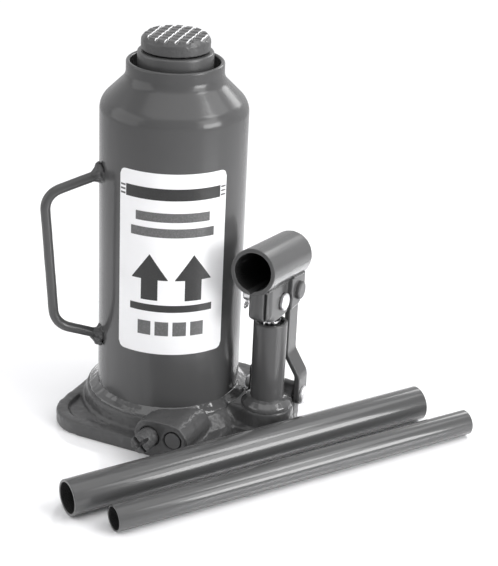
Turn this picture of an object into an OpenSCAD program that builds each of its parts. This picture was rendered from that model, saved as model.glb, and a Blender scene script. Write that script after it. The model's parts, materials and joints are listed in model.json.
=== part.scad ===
// Hydraulic bottle jack with a screw-out saddle, a hand pump and a two-piece handle.
// Millimetres. The origin is on the floor under the tank axis: +Z up, +X to the pump,
// and the operator stands on the -Y side, where the handle socket and release valve point.

/* [Reservoir tank] */
// Outside diameter of the tank
tank_d = 87; // [86.5:0.25:87.5]
// Wall thickness of the tank
tank_wall = 2.5; // [2.4:0.1:2.6]
// Height of the rim of the neck above the floor
neck_top = 224.4; // [223.5:0.1:225]
// Height at which the side of the tank starts to round over
shoulder_z = 195; // [194:0.5:196]
// Inside diameter of the neck
neck_bore_d = 52; // [51.8:0.1:52.2]

/* [Base] */
// Size of the foot plate along X
foot_x = 109; // [108:1:112]
// Size of the foot plate along Y
foot_y = 123; // [122:1:126]
// Radius of the foot plate's corners
foot_corner_r = 24; // [22:1:28]
// Thickness of the foot plate at its rim
foot_h = 8.5; // [8:0.5:9]
// Width of the flat rim round the sunk corners of the foot plate
foot_rim = 7.5; // [7:0.5:8]

/* [Ram and extension screw] */
// Diameter of the ram
ram_d = 44.3; // [44.2:0.05:44.3]
// Height of the top of the ram when it is down
ram_top = 230.2; // [229.5:0.1:230.4]
// Outside diameter of the extension screw
screw_d = 30; // [29.9:0.05:30]
// Diameter of the saddle
saddle_d = 40; // [38:0.5:42]
// Height of the saddle's top, which is the closed height of the jack
closed_height = 240; // [239:0.5:242]

/* [Pump] */
// Distance from the tank axis to the pump axis
pump_x = 67.5; // [67.4:0.1:67.6]
// Outside diameter of the pump cylinder
pump_d = 20.4; // [20:0.1:20.6]
// Height of the top of the pump cylinder
pump_top = 75; // [74:0.5:75.5]
// Diameter of the pump plunger
plunger_d = 12; // [11.8:0.1:12]

/* [Handle socket and links] */
// Outside diameter of the socket tube
socket_d = 27.5; // [27:0.1:27.6]
// Inside diameter of the socket tube
socket_bore_d = 22.6; // [22:0.1:22.8]
// Length of the socket tube
socket_len = 56; // [55:0.5:57]
// Tilt of the socket tube, mouth upwards
socket_tilt = 8.5; // [8:0.25:8.75]
// Diameter of the three pivot pins
pin_d = 8; // [7.9:0.05:8]
// Width of each link strap
strap_w = 12.6; // [12:0.1:12.6]

/* [Carry handle] */
// Diameter of the bent rod
rod_d = 6; // [5.8:0.1:6.5]
// Direction in which the carry handle stands off the tank
rod_heading = 224; // [220:1:228]

/* [Loose handle pipes] */
// Length of each handle pipe
pipe_len = 241; // [220:1:245]
// Outside diameter of the large pipe
pipe_large_d = 21.3; // [21:0.1:21.4]
// Outside diameter of the small pipe
pipe_small_d = 15.6; // [15:0.1:16]

/* [Hidden] */
$fn = 96;
enamel = "dimgray";
bright = "gainsboro";
dark_steel = "slategray";
seal_black = "#202020";
fit = 0.05;            // running clearance between a moving piece and its neighbour
through = 1;           // how far a cutting shape passes the face that it cuts
arc_steps = 8;         // straight steps in each round part of a turned outline

// ---- tank and base heights
tank_r = tank_d / 2;
tank_in_r = tank_r - tank_wall;
neck_bore_r = neck_bore_d / 2;
deck_z = 17;           // ledge that the tank stands on
register_z = 21.5;     // raised centre of the base, inside the tank
seat_z = 16;           // floor of the bore that the pressure cylinder stands in
hub_r = 49.5;
hub_foot_r = 53.5;
bead_r = 49;

// ---- pressure cylinder and its nut
cyl_r = 24;
cyl_out_r = 29;
gasket_h = 1.2;
cyl_top = 205;
nut_top = 214;
nut_low = 198;

// ---- ram, piston and screw
ram_r = ram_d / 2;
spigot_r = 17;
spigot_z = 19;
piston_z = 31;
screw_r = screw_d / 2;
ram_bore_r = 16.2;
ram_bore_z = 60;
thread_z = 199.5;      // lower end of the ram's internal thread
screw_low = 108;
stop_z = 113;
stop_h = 4;
stop_groove_r = 12;
saddle_z = closed_height - 9;
stub_r = 9;
stub_h = 6.5;

// ---- pump and its linkage
plunger_r = plunger_d / 2;
pump_seat_z = 12;
arm_top = 20;
plunger_low = 16.5;
plunger_pin_z = 89;
link_y = 16;
link_low_z = 22;
link_top_z = 91;
pin_r = pin_d / 2;
open_pivot_gap = 1;    // the cheeks' holes are loose here: the linkage is opened at this pin
cheek_half = 7.2;      // half width over the front of the two cheeks
gap_half = 4.2;        // half width of the slot between them
ear_in = 8.2;          // the ears stand outside the straps, the cheeks in line with them
ear_out = 10.6;
ear_y = [5.3, 7.7];    // the sheet steps outwards from the cheeks to the ears here
tang_half = 4;
strap_t = 3.4;
strap_in = 4.7;
strap_end_r = 6;       // top ends of the straps, under the tube
step_high = 50;
step_low = 36;
lug_half = 13;
lug_r = 7;
strap_low_in = lug_half + 0.2;
head_h = 2.2;
pin_head_r = 5.6;
plunger_head_r = 5.3;
head_clear_r = 6.2;    // scallop in the stepped sheet round the plunger pin's head
cotter_r = 0.9;
cotter_hole_r = 1;

// ---- valves in the base
release_x = 19.5;
release_z = 13;
release_seat_y = -28;
release_thread_r = 3.4;
safety_x = 35;
safety_z = 14;
safety_seat_y = -14.5;
plug_head_r = 5;
plug_thread_r = 3.95;
plug_end_y = -38.5;     // the plug ends before the ledge that carries the tank
face_y = -foot_y / 2;
boss_r = 11;
outlet_y = -3.8;
inlet_y = 4.2;
gallery_z = 6;
suction_z = 5;
suction_x = 35.5;
plug_x = 78.5;

// ---- socket
socket_front = [-29.8, 117.5];
socket_floor = 4;

// ---- outlines

// Points of a round corner: centre, radius, first and last angle
function arc(c, r, a0, a1, n = arc_steps) =
    [for (i = [0:n]) let (a = a0 + (a1 - a0) * i / n) c + r * [cos(a), sin(a)]];

function unit(v) = v / norm(v);
function cross2(a, b) = a.x * b.y - a.y * b.x;
function heading(v) = atan2(v.y, v.x);

// Points that round off the corner at b between a and c with radius r
function round_off(a, b, c, r, n = 5) =
    let (u = unit(a - b), v = unit(c - b), half = acos(u * v) / 2)
    let (mid = b + unit(u + v) * r / sin(half), arm = r / tan(half))
    let (first = b + u * arm - mid, last = b + v * arm - mid)
    [for (i = [0:n]) mid + r * unit(first * (1 - i / n) + last * i / n)];

// ---- building blocks

module ring(r_out, r_in, z0, z1) {
    translate([0, 0, z0])
        difference() {
            cylinder(r = r_out, h = z1 - z0);
            translate([0, 0, -through])
                cylinder(r = r_in, h = z1 - z0 + 2 * through);
        }
}

module o_ring(r_mid, r_cord) {
    rotate_extrude()
        translate([r_mid, 0])
            circle(r_cord, $fn = 32);
}

// Round bar along Y from y0 to y1
module bar_y(x, z, r, y0, y1) {
    translate([x, y0, z])
        rotate([-90, 0, 0])
            cylinder(r = r, h = y1 - y0);
}

// Round bar along X from x0 to x1
module bar_x(y, z, r, x0, x1) {
    translate([x0, y, z])
        rotate([0, 90, 0])
            cylinder(r = r, h = x1 - x0);
}

// Upright round bar from z0 to z1
module bar_z(x, y, r, z0, z1) {
    translate([x, y, z0])
        cylinder(r = r, h = z1 - z0);
}

module box(low, high) {
    translate(low)
        cube(high - low);
}

// A rectangle with round corners, centred on the origin
module round_rect(size, r) {
    square([size.x - 2 * r, size.y], center = true);
    square([size.x, size.y - 2 * r], center = true);
    for (sx = [-1, 1], sy = [-1, 1])
        translate([sx * (size.x / 2 - r), sy * (size.y / 2 - r)])
            circle(r);
}

// Coil spring of round wire, standing on z = 0
module coil(r_mid, wire_r, height, turns) {
    sides = 8;
    steps = round(16 * turns);
    climb = height - 2 * wire_r;
    points = [for (i = [0:steps], k = [0:sides - 1])
        let (a = 360 * turns * i / steps, b = 360 * k / sides, r = r_mid + wire_r * cos(b))
        [r * cos(a), r * sin(a), wire_r + climb * i / steps + wire_r * sin(b)]];
    skin = [for (i = [0:steps - 1], k = [0:sides - 1], half = [0, 1])
        let (p = i * sides + k, q = i * sides + (k + 1) % sides)
        half == 0 ? [p, q, q + sides] : [p, q + sides, p + sides]];
    first_end = [for (k = [sides - 1:-1:0]) k];
    last_end = [for (k = [0:sides - 1]) steps * sides + k];
    polyhedron(points, concat(skin, [first_end, last_end]));
}

// A split pin through a pin that lies along X, at the origin
module split_pin() {
    eye_r = 1.9;
    reach = pin_r + 1.6;
    cylinder(r = cotter_r, h = 2 * reach, center = true);
    translate([0, 0, reach + eye_r - 0.4])
        rotate([0, 90, 0])
            o_ring(eye_r, cotter_r * 0.85);
    for (side = [-1, 1])
        translate([0, 0, -reach])
            rotate([side * 60, 0, 0])
                cylinder(r = cotter_r * 0.8, h = 3.2);
}

// Headed pin along X with its head towards +X
module headed_pin(y, z, head_r, head_x, end_x, cotter_x) {
    difference() {
        union() {
            bar_x(y, z, pin_r, end_x, head_x + head_h);
            bar_x(y, z, head_r, head_x, head_x + head_h);
        }
        translate([cotter_x, y, z])
            cylinder(r = cotter_hole_r, h = 3 * pin_r, center = true);
    }
}

// ---- base

module foot_plate() {
    linear_extrude(foot_h)
        round_rect([foot_x, foot_y], foot_corner_r);
}

module foot_pockets() {
    pocket_z = foot_h - 2.5;
    pocket_end_x = -12;
    difference() {
        translate([0, 0, pocket_z])
            linear_extrude(foot_h)
                round_rect([foot_x, foot_y] - 2 * [foot_rim, foot_rim], foot_corner_r - foot_rim);
        cylinder(r = hub_foot_r, h = 2 * foot_h);
        box([pocket_end_x, -foot_y, 0], [foot_x, foot_y, 2 * foot_h]);
    }
}

module hub_cone(foot_r) {
    rotate_extrude()
        polygon([
            [0, 0], [foot_r, 0], [foot_r, foot_h - 2.5], [foot_r - 1.4, foot_h + 0.5],
            [hub_r + 1, deck_z - 1], [hub_r, deck_z], [0, deck_z]
        ]);
}

// The hub spreads out further between the valves and the pump
module hub() {
    hub_cone(hub_foot_r);
    intersection() {
        hub_cone(hub_foot_r + 4);
        box([30, -60, 0], [60, -5, deck_z]);
    }
}

module pump_arm() {
    arm_half = 13;
    flange_r = 18.4;
    bar_z(pump_x, 0, pump_d / 2 + 6.1, 0, arm_top);
    box([40, -arm_half, 0], [pump_x, link_y - lug_r, arm_top]);
    bar_z(pump_x, 0, flange_r, 0, foot_h);
    box([40, -flange_r + 0.4, 0], [pump_x - 3, flange_r - 0.4, foot_h]);
}

module link_lug() {
    corner_r = 4;
    intersection() {
        union() {
            box([pump_x - lug_half, link_y - lug_r, 0], [pump_x + lug_half, link_y + lug_r, link_low_z]);
            bar_x(link_y, link_low_z, lug_r, pump_x - lug_half, pump_x + lug_half);
        }
        translate([pump_x, link_y, 0])
            linear_extrude(2 * link_low_z)
                round_rect([2 * lug_half, 2 * lug_r], corner_r);
    }
}

module valve_boss() {
    for (x = [release_x + 1, safety_x - 1.5])
        bar_y(x, release_z, boss_r, face_y, -30);
    box([release_x + 1, face_y, release_z - boss_r], [safety_x - 1.5, -30, release_z + boss_r]);
}

// Oil ways between the pump, the pressure cylinder, the reservoir and the valves
module oil_ways() {
    bar_z(3, outlet_y, 2, gallery_z, seat_z + through);
    bar_x(outlet_y, gallery_z, 2, 3, 90);
    bar_x(outlet_y, gallery_z, 2.6, plug_x, 90);
    bar_z(pump_x, outlet_y, 1.5, gallery_z, pump_seat_z + through);
    bar_z(pump_x, outlet_y, 3, -through, 9.5);
    bar_x(inlet_y, suction_z, 1.8, suction_x, 90);
    bar_x(inlet_y, suction_z, 2.6, plug_x, 90);
    bar_z(pump_x, inlet_y, 1.3, suction_z, pump_seat_z);
    bar_z(pump_x, inlet_y, 2.6, 9, pump_seat_z + through);
    bar_z(suction_x, inlet_y, 1.8, suction_z, register_z + through);
}

module release_bores() {
    bar_y(release_x, release_z, 6.3, face_y - through, -46);
    bar_y(release_x, release_z, release_thread_r + fit, -47, release_seat_y);
    bar_y(release_x, release_z, 2, release_seat_y - through, -12);
    bar_z(release_x, -12, 1.5, release_z, seat_z + through);
    bar_z(release_x + 1.5, -31, 1.8, release_z, register_z + through);
}

module safety_bores() {
    bar_y(safety_x, safety_z, plug_head_r + 0.8, face_y - through, face_y + 2);
    bar_y(safety_x, safety_z, plug_head_r + fit, face_y, -54);
    bar_y(safety_x, safety_z, plug_thread_r + fit, -55, plug_end_y);
    bar_y(safety_x, safety_z, 2.5, plug_end_y - through, safety_seat_y);
    bar_y(safety_x, safety_z, 1.2, safety_seat_y - through, outlet_y);
    bar_z(safety_x, outlet_y, 1.2, gallery_z, safety_z);
    bar_z(safety_x, -17.5, 1.2, safety_z, register_z + through);
}

module base() {
    color(enamel)
        difference() {
            union() {
                difference() {
                    union() {
                        difference() {
                            foot_plate();
                            foot_pockets();
                        }
                        hub();
                        pump_arm();
                        valve_boss();
                    }
                    ring(hub_r - 0.4, 0, deck_z, 2 * deck_z);
                }
                link_lug();
                bar_z(0, 0, tank_in_r - fit, deck_z - through, register_z);
            }
            bar_z(0, 0, cyl_out_r + fit, seat_z, register_z + through);
            bar_z(pump_x, 0, pump_d / 2 + fit, pump_seat_z, link_low_z + 20);
            bar_x(link_y, link_low_z, pin_r + 0.02, pump_x - lug_half - 1, pump_x + lug_half + 1);
            oil_ways();
            release_bores();
            safety_bores();
        }
}

// ---- reservoir

module reservoir_tank() {
    round_r = 12;
    neck_fillet = 8.5;
    neck_out_r = neck_bore_r + tank_wall;
    round_c = [tank_r - round_r, shoulder_z];
    slope_sum = round_c.x + round_c.y + round_r * sqrt(2);
    fillet_c = [neck_out_r + neck_fillet, slope_sum - neck_out_r - neck_fillet + neck_fillet * sqrt(2)];
    inner_sum = slope_sum - tank_wall * sqrt(2);
    collar_z = 207;
    lip = 1.2;
    filler_z = 185;
    color(enamel)
        difference() {
            rotate_extrude()
                polygon(concat(
                    [[tank_in_r, deck_z], [tank_r, deck_z]],
                    arc(round_c, round_r, 0, 45),
                    arc(fillet_c, neck_fillet, 225, 180),
                    arc([neck_out_r - lip, neck_top - lip], lip, 0, 180, 12),
                    [[neck_bore_r, collar_z], [inner_sum - collar_z, collar_z]],
                    arc(round_c, round_r - tank_wall, 45, 0)
                ));
            bar_y(0, filler_z, 4 + fit, 0, tank_d);
        }
}

module filler_plug() {
    color(seal_black) {
        bar_y(0, 185, 4, tank_in_r - 2, tank_r + 0.1);
        bar_y(0, 185, 6.5, tank_r + 0.1, tank_r + 2.4);
        bar_y(0, 185, 5, tank_in_r - 3.5, tank_in_r - 1.9);
    }
}

module tank_weld_bead() {
    bead_h = register_z - deck_z;
    color(enamel)
        rotate_extrude()
            polygon(concat(
                [[tank_r + 0.01, deck_z], [bead_r, deck_z]],
                arc([tank_r - 2, deck_z - 2], bead_r - tank_r + 2, 22, 62, 6),
                [[tank_r + 0.01, deck_z + bead_h]]
            ));
}

module label() {
    label_low = 57;
    label_high = 170.4;
    half_angle = 46.5;
    label_heading = -63;
    sheet = 0.2;
    color("white")
        rotate([0, 0, label_heading - half_angle])
            rotate_extrude(angle = 2 * half_angle)
                translate([tank_r + 0.01, label_low])
                    square([sheet, label_high - label_low]);
}

// ---- carry handle

// Corners of the rod's centre line: distance from the tank axis, and height
rod_path = [[42, 159], [77.3, 148], [72, 65], [42, 54.1]];
rod_bends = [0, 12, 14, 0];
bend_overlap = 0.3;    // legs run this far into the slightly thinner bends

// Length that the bend at corner i takes off each of its two legs
function bend_take(i) =
    let (a = unit(rod_path[i] - rod_path[i - 1]), b = unit(rod_path[i + 1] - rod_path[i]))
    rod_bends[i] * tan(abs(atan2(cross2(a, b), a * b)) / 2);

module rod_leg(i) {
    a = rod_path[i];
    b = rod_path[i + 1];
    cut_a = i > 0 ? bend_take(i) - bend_overlap : 0;
    cut_b = i + 2 < len(rod_path) ? bend_take(i + 1) - bend_overlap : 0;
    translate(a + unit(b - a) * cut_a)
        rotate([0, 0, heading(b - a)])
            rotate([0, 90, 0])
                cylinder(r = rod_d / 2, h = norm(b - a) - cut_a - cut_b);
}

module rod_bend(i) {
    a = unit(rod_path[i] - rod_path[i - 1]);
    b = unit(rod_path[i + 1] - rod_path[i]);
    turn = atan2(cross2(a, b), a * b);
    side = turn > 0 ? 1 : -1;
    centre = rod_path[i] - a * bend_take(i) + rod_bends[i] * side * [-a.y, a.x];
    first = heading(a) - side * 90;
    translate(centre)
        rotate([0, 0, min(first, first + turn)])
            rotate_extrude(angle = abs(turn))
                translate([rod_bends[i], 0])
                    circle(rod_d / 2 - 0.02, $fn = 48);
}

module rod_place() {
    rotate([0, 0, rod_heading])
        rotate([90, 0, 0])
            children();
}

module carry_handle() {
    color(enamel)
        difference() {
            rod_place() {
                for (i = [0:len(rod_path) - 2])
                    rod_leg(i);
                for (i = [1:len(rod_path) - 2])
                    rod_bend(i);
            }
            bar_z(0, 0, tank_r + 0.01, 0, closed_height);
        }
}

module carry_handle_welds() {
    last = len(rod_path) - 1;
    color(enamel)
        for (pair = [[0, 1], [last, last - 1]]) {
            a = rod_path[pair[0]];
            b = rod_path[pair[1]];
            difference() {
                rod_place()
                    translate(a)
                        rotate([0, 0, heading(b - a)])
                            rotate([0, 90, 0])
                                difference() {
                                    cylinder(r1 = rod_d / 2 + 3, r2 = rod_d / 2 + 1, h = 5);
                                    translate([0, 0, -through])
                                        cylinder(r = rod_d / 2 + 0.01, h = 12);
                                }
                bar_z(0, 0, tank_r + 0.01, 0, closed_height);
            }
        }
}

// ---- pressure cylinder, its nut and seals

module pressure_cylinder() {
    color(dark_steel)
        ring(cyl_out_r, cyl_r, seat_z + gasket_h, cyl_top);
}

module cylinder_gasket() {
    color("peru")
        ring(cyl_out_r - 0.1, cyl_r + 0.2, seat_z, seat_z + gasket_h);
}

module top_nut() {
    notch_w = 5;
    groove_r = ram_r + 2.1;
    spigot_out = cyl_r - fit;
    color(dark_steel)
        difference() {
            union() {
                bar_z(0, 0, neck_bore_r - fit, cyl_top, nut_top);
                bar_z(0, 0, spigot_out, nut_low, cyl_top + through);
            }
            bar_z(0, 0, ram_r + fit, nut_low - through, nut_top + through);
            bar_z(0, 0, groove_r, nut_top - 6, nut_top - 2);
            ring(cyl_r + through, spigot_out - 1.1, 200, 202.2);
            for (a = [45:90:315])
                rotate([0, 0, a])
                    box([ram_r + 1.7, -notch_w / 2, nut_top - 4],
                        [neck_bore_r + through, notch_w / 2, nut_top + through]);
        }
}

module nut_o_ring() {
    color(seal_black)
        translate([0, 0, 201.1])
            ring(cyl_r - 0.02, cyl_r - fit - 1.08, -1, 1);
}

module ram_wiper() {
    color(seal_black)
        ring(ram_r + 2.05, ram_r + fit, nut_top - 5.95, nut_top - 2.05);
}

// ---- ram and piston

module ram() {
    edge = 1.2;
    color(dark_steel)
        difference() {
            rotate_extrude()
                polygon([
                    [0, spigot_z], [spigot_r - 1, spigot_z], [spigot_r, spigot_z + 1],
                    [spigot_r, piston_z], [ram_r, piston_z],
                    [ram_r, ram_top - edge], [ram_r - edge, ram_top], [0, ram_top]
                ]);
            bar_z(0, 0, screw_r + fit, ram_bore_z + through, ram_top + through);
            bar_z(0, 0, ram_bore_r, ram_bore_z, thread_z);
            ring(spigot_r + through, spigot_r - 1, 20.5, 22);
        }
}

module piston_guide_ring() {
    color("darkgoldenrod")
        ring(cyl_r - fit, spigot_r + 0.02, 27, piston_z - 0.02);
}

module cup_seal() {
    lip_z = 22.1;
    heel_z = 26.9;
    color(seal_black)
        rotate_extrude()
            polygon([
                [spigot_r + 0.02, heel_z], [cyl_r - 0.04, heel_z], [cyl_r - 0.04, lip_z],
                [22.3, lip_z], [21, 24.6], [18.8, 24.6], [18.8, 22.6], [spigot_r + 0.02, 22.6]
            ]);
}

module seal_retaining_ring() {
    color(dark_steel)
        difference() {
            ring(spigot_r + 1.6, spigot_r - 0.95, 20.6, 21.9);
            box([0, -3, 20], [spigot_r + 5, 3, 23]);
        }
}

// ---- extension screw and saddle

module screw_stop_ring() {
    color(dark_steel)
        difference() {
            ring(ram_bore_r - 0.15, stop_groove_r + 0.1, stop_z + 0.05, stop_z + stop_h - 0.05);
            box([0, -4, stop_z - 1], [screw_r + 5, 4, stop_z + stop_h + 1]);
        }
}

module extension_screw() {
    color(dark_steel)
        difference() {
            union() {
                bar_z(0, 0, screw_r, screw_low, saddle_z);
                bar_z(0, 0, stub_r, saddle_z, saddle_z + stub_h);
            }
            ring(screw_r + through, stop_groove_r, stop_z, stop_z + stop_h);
        }
}

module saddle() {
    edge = 2.2;
    pitch = 6;
    grooves = [[0, 1.4, 1.6], [90, 1.2, 0.9]];  // direction, width and depth of each set
    top = closed_height;
    r = saddle_d / 2;
    color(enamel)
        difference() {
            rotate_extrude()
                polygon([
                    [0, saddle_z + 0.02], [r - 0.5, saddle_z + 0.02], [r, saddle_z + 0.5],
                    [r, top - 3], [r - edge, top], [0, top]
                ]);
            bar_z(0, 0, stub_r + 0.02, saddle_z - through, saddle_z + stub_h + 0.1);
            rotate([0, 0, 9])
                for (i = [-3:3], set = grooves)
                    rotate([0, 0, set[0]])
                        box([i * pitch - set[1] / 2, -r - 1, top - set[2]],
                            [i * pitch + set[1] / 2, r + 1, top + 1]);
        }
}

// ---- pump

module pump_cylinder() {
    low = pump_seat_z + 1;
    relief_x = 4.4;        // milled corners at the back, where the straps swing past
    relief_y = 7.8;
    color(enamel)
        difference() {
            bar_z(pump_x, 0, pump_d / 2, low, pump_top);
            bar_z(pump_x, 0, plunger_r + fit, low - through, pump_top + through);
            bar_z(pump_x, 0, 8.1, pump_top - 7, pump_top + through);
            for (side = [0, 1])
                translate([pump_x, 0, 0])
                    mirror([side, 0, 0])
                        box([relief_x, relief_y, 45], [pump_d, pump_d, pump_top + through]);
        }
}

module pump_gasket() {
    color("peru")
        translate([pump_x, 0, 0])
            ring(pump_d / 2 - 0.1, 7.1, pump_seat_z, pump_seat_z + 1);
}

module pump_gland() {
    color(seal_black)
        translate([pump_x, 0, 0])
            ring(8.05, plunger_r + fit, pump_top - 7, pump_top - 2.5);
}

module pump_weld_collar() {
    foot_r = pump_d / 2 + 5.2;
    collar_h = 5.4;
    color(enamel)
        difference() {
            translate([pump_x, 0, 0])
                rotate_extrude()
                    polygon(concat(
                        [[pump_d / 2 + 0.02, arm_top], [foot_r, arm_top]],
                        arc([pump_d / 2 - 0.4, arm_top - 0.6], foot_r - pump_d / 2 + 0.8, 20, 70, 6),
                        [[pump_d / 2 + 0.02, arm_top + collar_h]]
                    ));
            box([40, link_y - lug_r - 0.02, 0], [100, 40, 40]);
        }
}

module pump_plunger() {
    tang_w = 5.5;
    shaft_top = 76.35;
    color(bright)
        difference() {
            union() {
                bar_z(pump_x, 0, plunger_r, plunger_low, shaft_top);
                box([pump_x - tang_half, -tang_w, shaft_top - 2],
                    [pump_x + tang_half, tang_w, plunger_pin_z]);
                bar_x(0, plunger_pin_z, tang_w, pump_x - tang_half, pump_x + tang_half);
            }
            bar_x(0, plunger_pin_z, pin_r + 0.02, pump_x - 10, pump_x + 10);
            translate([pump_x, 0, 0])
                ring(plunger_r + through, plunger_r - 1.5, 20, 23);
        }
}

module plunger_seal() {
    color(seal_black)
        translate([pump_x, 0, 0])
            ring(plunger_r + 0.02, plunger_r - 1.45, 20.05, 22.95);
}

// ---- pump linkage

module plunger_pin() {
    color(bright)
        headed_pin(0, plunger_pin_z, plunger_head_r,
                   pump_x + cheek_half + 0.3, pump_x - 17.6, pump_x - 15.2);
}

module plunger_split_pin() {
    color(bright)
        translate([pump_x - 15.2, 0, plunger_pin_z])
            mirror([0, 0, 1])
                split_pin();
}

module link_pin() {
    end_x = pump_x - ear_out - 4;
    color(dark_steel)
        headed_pin(link_y, link_top_z, pin_head_r, pump_x + ear_out + 0.05, end_x, end_x + 2.2);
}

module link_split_pin() {
    color(bright)
        translate([pump_x - ear_out - 1.8, link_y, link_top_z])
            split_pin();
}

module lower_link_pin() {
    low_out = strap_low_in + strap_t;
    end_x = pump_x - low_out - 4;
    color(bright)
        headed_pin(link_y, link_low_z, pin_head_r, pump_x + low_out + 0.05, end_x, end_x + 2.2);
}

module lower_split_pin() {
    color(bright)
        translate([pump_x - strap_low_in - strap_t - 1.8, link_y, link_low_z])
            split_pin();
}

// One strap: inside the ear at the top, stepped outwards over the base lug
module link_strap() {
    r = strap_w / 2;
    tight = 5;
    wide = 9;
    line = [
        [strap_in, link_top_z + r], [strap_in, step_high],
        [strap_low_in, step_low], [strap_low_in, link_low_z - r]
    ];
    across = [strap_t, 0];
    side = concat(
        [line[0]], round_off(line[0], line[1], line[2], wide), round_off(line[1], line[2], line[3], tight),
        [line[3], line[3] + across],
        round_off(line[3] + across, line[2] + across, line[1] + across, wide),
        round_off(line[2] + across, line[1] + across, line[0] + across, tight),
        [line[0] + across]
    );
    difference() {
        intersection() {
            translate([0, link_y + r, 0])
                rotate([90, 0, 0])
                    linear_extrude(strap_w)
                        polygon(side);
            union() {
                bar_x(link_y, link_top_z, strap_end_r, 0, 20);
                bar_x(link_y, link_low_z, r, 0, 20);
                box([0, link_y - r, link_low_z], [20, link_y + r, link_top_z - 4]);
                box([0, link_y - strap_end_r, link_low_z], [20, link_y + strap_end_r, link_top_z]);
            }
        }
        bar_x(link_y, link_top_z, pin_r + 0.02, 0, 20);
        bar_x(link_y, link_low_z, pin_r + fit, 0, 20);
    }
}

module link_strap_right() {
    color(enamel)
        translate([pump_x, 0, 0])
            link_strap();
}

module link_strap_left() {
    color(enamel)
        translate([pump_x, 0, 0])
            mirror([1, 0, 0])
                link_strap();
}

// ---- handle socket

// Places children with +Z out of the socket's mouth and the origin at the mouth's centre
module at_mouth() {
    translate([pump_x, socket_front.x, socket_front.y])
        rotate([90 - socket_tilt, 0, 0])
            children();
}

// Side view of the clevis, as [y, z] points: the cheeks in front, then the ears
function cheek_side() = [
    [-22.2, 106], [-22.2, 87.5], [-21.6, 84.9], [-20, 82.9], [-17.5, 81.5], [-9, 79.8], [-2, 79.2],
    [ear_y[1], 79.2], [ear_y[1], 106]
];

function ear_side() = [
    [ear_y[0], 106], [ear_y[0], 82], [17, 82], [22, 85.5], [24.4, 91.5], [24.6, 99.5], [21, 106]
];

// Plan of the cheeks: one sheet bent round the nose, open to the rear
module cheek_plan() {
    nose_y = -15;
    difference() {
        union() {
            translate([0, nose_y])
                circle(cheek_half);
            translate([-cheek_half, nose_y])
                square([2 * cheek_half, ear_y[1] - nose_y]);
        }
        translate([0, nose_y])
            circle(gap_half);
        translate([-gap_half, nose_y])
            square([2 * gap_half, 50]);
    }
}

// Plan of the ears and of the step that joins each one to its cheek
module ear_plan() {
    for (side = [0, 1])
        mirror([side, 0]) {
            translate([ear_in, ear_y[0]])
                square([ear_out - ear_in, 30]);
            translate([gap_half, ear_y[0]])
                square([ear_out - gap_half, ear_y[1] - ear_y[0]]);
        }
}

module upright(side_points) {
    intersection() {
        translate([pump_x, 0, 70])
            linear_extrude(45)
                children();
        translate([pump_x - 20, 0, 0])
            rotate([90, 0, 90])
                linear_extrude(40)
                    polygon(side_points);
    }
}

module clevis() {
    upright(cheek_side())
        cheek_plan();
    upright(ear_side())
        ear_plan();
}

// Teardrop groove along the bottom of the bore, and the seam of the rolled tube under it
module seam_groove() {
    bore_r = socket_bore_d / 2;
    apex_r = bore_r + 1.4;
    seam_r = socket_d / 2 + 0.1;
    polygon([
        [-3.4, -bore_r + 1.2], [3.4, -bore_r + 1.2], [0.5, -apex_r], [0.5, -seam_r],
        [-0.5, -seam_r], [-0.5, -apex_r]
    ]);
}

module handle_socket() {
    color(enamel)
        difference() {
            union() {
                at_mouth()
                    translate([0, 0, -socket_len])
                        cylinder(d = socket_d, h = socket_len);
                clevis();
            }
            at_mouth()
                translate([0, 0, -socket_len + socket_floor])
                    cylinder(d = socket_bore_d, h = socket_len);
            at_mouth()
                translate([0, 0, -socket_len + socket_floor])
                    linear_extrude(socket_len)
                        seam_groove();
            bar_x(0, plunger_pin_z, pin_r + open_pivot_gap, pump_x - 20, pump_x + 20);
            bar_x(link_y, link_top_z, pin_r + fit, pump_x - 20, pump_x + 20);
            bar_x(0, plunger_pin_z, head_clear_r, pump_x + cheek_half + 0.02, pump_x + 20);
            box([pump_x + 3.8, -24, 79], [pump_x + 5.2, -17.5, 101]);
        }
}

// ---- valves

module release_valve_stem() {
    head_r = 6;
    tip_y = release_seat_y - 5.4;
    slot_w = 1.8;
    slot_depth = 3;
    color(enamel)
        difference() {
            union() {
                bar_y(release_x, release_z, head_r, face_y - 11.5, -48);
                bar_y(release_x, release_z, release_thread_r, -48.5, tip_y);
            }
            for (turn = [0, 90])
                translate([release_x, face_y - 11.5, release_z])
                    rotate([0, 45 + turn, 0])
                        box([-slot_w / 2, -through, -8], [slot_w / 2, slot_depth, 8]);
            translate([release_x, -54, release_z])
                rotate([90, 0, 0])
                    ring(head_r + through, 4.5, -1.1, 1.1);
        }
}

module release_o_ring() {
    color(seal_black)
        translate([release_x, -54, release_z])
            rotate([90, 0, 0])
                o_ring(5.4, 0.85);
}

module release_ball() {
    ball_r = 3;
    sink = sqrt(ball_r * ball_r - 4);
    color(bright)
        translate([release_x, release_seat_y - sink - 0.02, release_z])
            sphere(ball_r);
}

module safety_screw() {
    color(enamel)
        union() {
            bar_y(safety_x, safety_z, plug_head_r, face_y, -54.1);
            bar_y(safety_x, safety_z, plug_thread_r, -54.5, plug_end_y);
        }
}

module safety_spring() {
    color(dark_steel)
        translate([safety_x, plug_end_y + 0.05, safety_z])
            rotate([-90, 0, 0])
                coil(1.9, 0.4, 21.1, 6);
}

module safety_ball() {
    ball_r = 2;
    sink = sqrt(ball_r * ball_r - 1.44);
    color(bright)
        translate([safety_x, safety_seat_y - sink - 0.02, safety_z])
            sphere(ball_r);
}

module inlet_ball() {
    ball_r = 2;
    color(bright)
        translate([pump_x, inlet_y, 9 + sqrt(ball_r * ball_r - 1.69) + 0.02])
            sphere(ball_r);
}

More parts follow.
